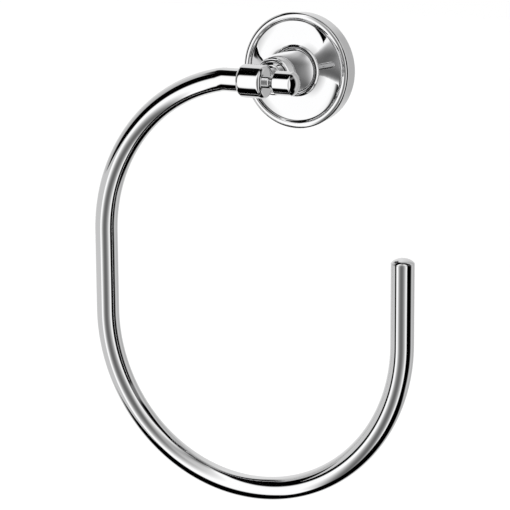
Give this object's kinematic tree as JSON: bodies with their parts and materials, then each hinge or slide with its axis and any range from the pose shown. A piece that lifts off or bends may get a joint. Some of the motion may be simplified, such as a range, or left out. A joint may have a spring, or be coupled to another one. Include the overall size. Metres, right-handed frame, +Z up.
{
  "type": "towel holder",
  "caption": "Open towel ring of bent round tube on a turned post and a round dished wall rose, polished chrome, screwed to a wall through a hidden plate.",
  "frame": {"origin": "on the wall face, at the centre of the rose and of the plate's two screw holes", "axes": "+Y into the wall, +Z up, +X to the right as seen from the room"},
  "size_m": [0.155, 0.0534, 0.2103],
  "materials": {
    "cast_chrome": "bright chrome plate on a polished zinc casting",
    "turned_chrome": "bright chrome plate on turned brass",
    "tube_chrome": "bright chrome plate on drawn tube",
    "zinc_plated_steel": "pale zinc plate with a soft sheen",
    "stainless_steel": "plain turned stainless steel",
    "insert_brass": "bare turned brass"
  },
  "bodies": {
    "root": {"wall_plate": "zinc_plated_steel", "rose": "cast_chrome", "grub_screw": "stainless_steel", "post": "turned_chrome", "arm": "cast_chrome", "clamp_screw": "zinc_plated_steel", "spring_washer": "zinc_plated_steel", "ring_tube": "tube_chrome", "tube_insert": "insert_brass", "end_knob": "turned_chrome", "tip_cap": "turned_chrome"}
  },
  "joints": []
}
